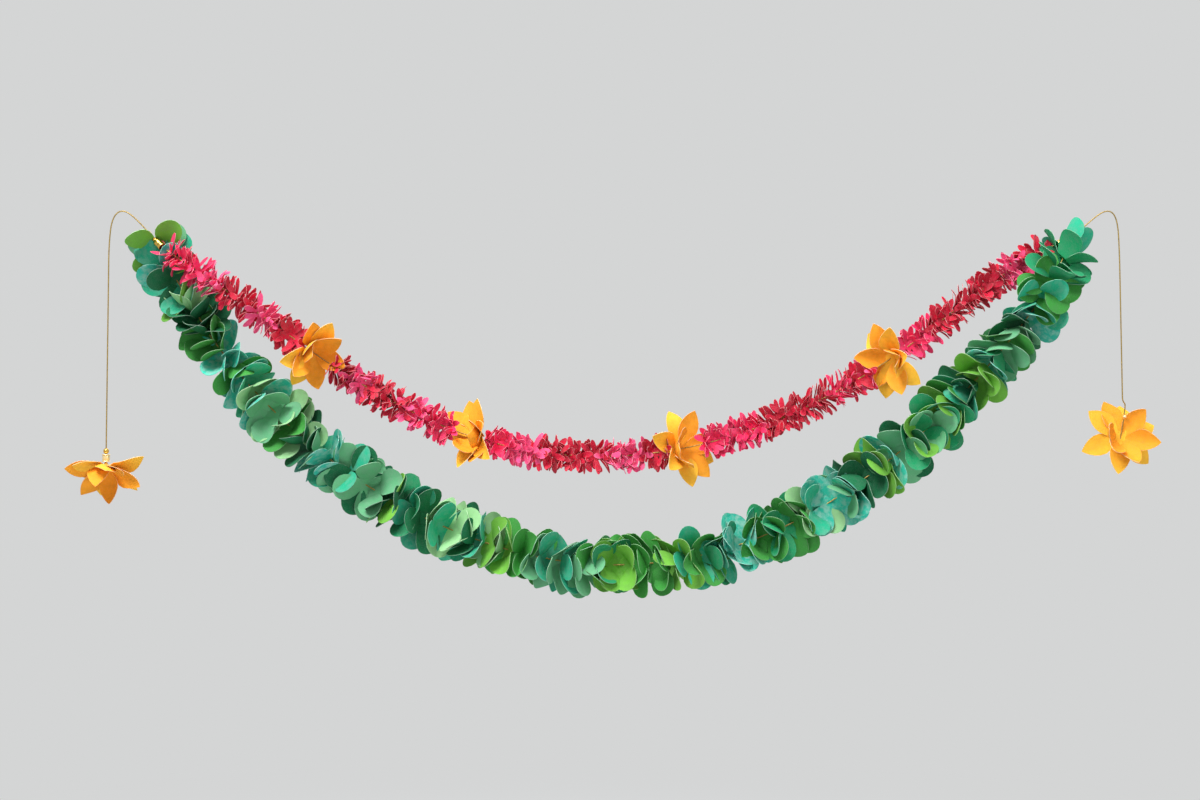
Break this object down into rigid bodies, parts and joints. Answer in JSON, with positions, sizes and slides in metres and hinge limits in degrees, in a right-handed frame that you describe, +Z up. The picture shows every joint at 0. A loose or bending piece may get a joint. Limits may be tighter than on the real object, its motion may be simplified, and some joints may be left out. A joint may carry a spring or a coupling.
{
  "type": "paper toran",
  "caption": "Door garland of folded paper leaves, florets and flowers threaded on gold cords, with a paper flower hanging at each side.",
  "frame": {"origin": "where the left hook carries the cord", "axes": "+X from the left hook to the right hook, +Y towards the wall behind, +Z up"},
  "size_m": [1.0143, 0.0843, 0.364],
  "materials": {
    "hot_pink_paper": "matt dyed craft paper, hot pink",
    "rose_pink_paper": "matt dyed craft paper, rose pink",
    "crimson_paper": "matt dyed craft paper, crimson",
    "light_green_paper": "matt craft paper, light leaf green",
    "emerald_paper": "matt craft paper, emerald green",
    "sage_green_paper": "matt craft paper, pale sage green",
    "teal_green_paper": "matt craft paper with a mottled wash, teal green",
    "marigold_paper": "matt craft paper, marigold yellow",
    "orange_paper": "matt craft paper, yellow orange",
    "gold_cord": "twisted metallic thread, dull gold",
    "gold_metal": "plated and polished",
    "pale_gold_bead": "glossy, pale gold"
  },
  "bodies": {
    "root": {"flower_1_left_petals": "marigold_paper", "flower_1_right_petals": "orange_paper", "flower_2_left_petals": "marigold_paper", "flower_2_right_petals": "orange_paper", "flower_3_left_petals": "marigold_paper", "flower_3_right_petals": "orange_paper", "flower_4_left_petals": "marigold_paper", "flower_4_right_petals": "orange_paper", "green_bunch_01": "light_green_paper", "green_bunch_02": "emerald_paper", "green_bunch_03": "teal_green_paper", "green_bunch_04": "sage_green_paper", "green_bunch_05": "emerald_paper", "green_bunch_06": "teal_green_paper", "green_bunch_07": "light_green_paper", "green_bunch_08": "emerald_paper", "green_bunch_09": "teal_green_paper", "green_bunch_10": "light_green_paper", "green_bunch_11": "emerald_paper", "green_bunch_12": "sage_green_paper", "green_bunch_13": "teal_green_paper", "green_bunch_14": "emerald_paper", "green_strand_cord": "gold_cord", "left_barrel_bead": "pale_gold_bead", "left_bell_bead": "gold_metal", "left_crimp": "gold_metal", "left_round_bead": "gold_metal", "left_small_bead": "gold_metal", "left_stop_bead": "gold_metal", "left_tail_cord": "gold_cord", "left_tail_flower_lower_petals": "orange_paper", "left_tail_flower_upper_petals": "marigold_paper", "pink_bunch_01": "hot_pink_paper", "pink_bunch_02": "crimson_paper", "pink_bunch_03": "rose_pink_paper", "pink_bunch_04": "crimson_paper", "pink_bunch_05": "rose_pink_paper", "pink_bunch_06": "hot_pink_paper", "pink_bunch_07": "rose_pink_paper", "pink_bunch_08": "crimson_paper", "pink_bunch_09": "rose_pink_paper", "pink_bunch_10": "hot_pink_paper", "pink_bunch_11": "crimson_paper", "pink_bunch_12": "crimson_paper", "pink_bunch_13": "hot_pink_paper", "pink_bunch_14": "rose_pink_paper", "pink_bunch_15": "crimson_paper", "pink_strand_cord": "gold_cord", "right_bell_bead": "gold_metal", "right_crimp": "gold_metal", "right_lower_bead": "gold_metal", "right_middle_bead": "gold_metal", "right_tail_cord": "gold_cord", "right_tail_flower_lower_petals": "orange_paper", "right_tail_flower_upper_petals": "marigold_paper", "right_upper_bead": "pale_gold_bead"}
  },
  "joints": []
}
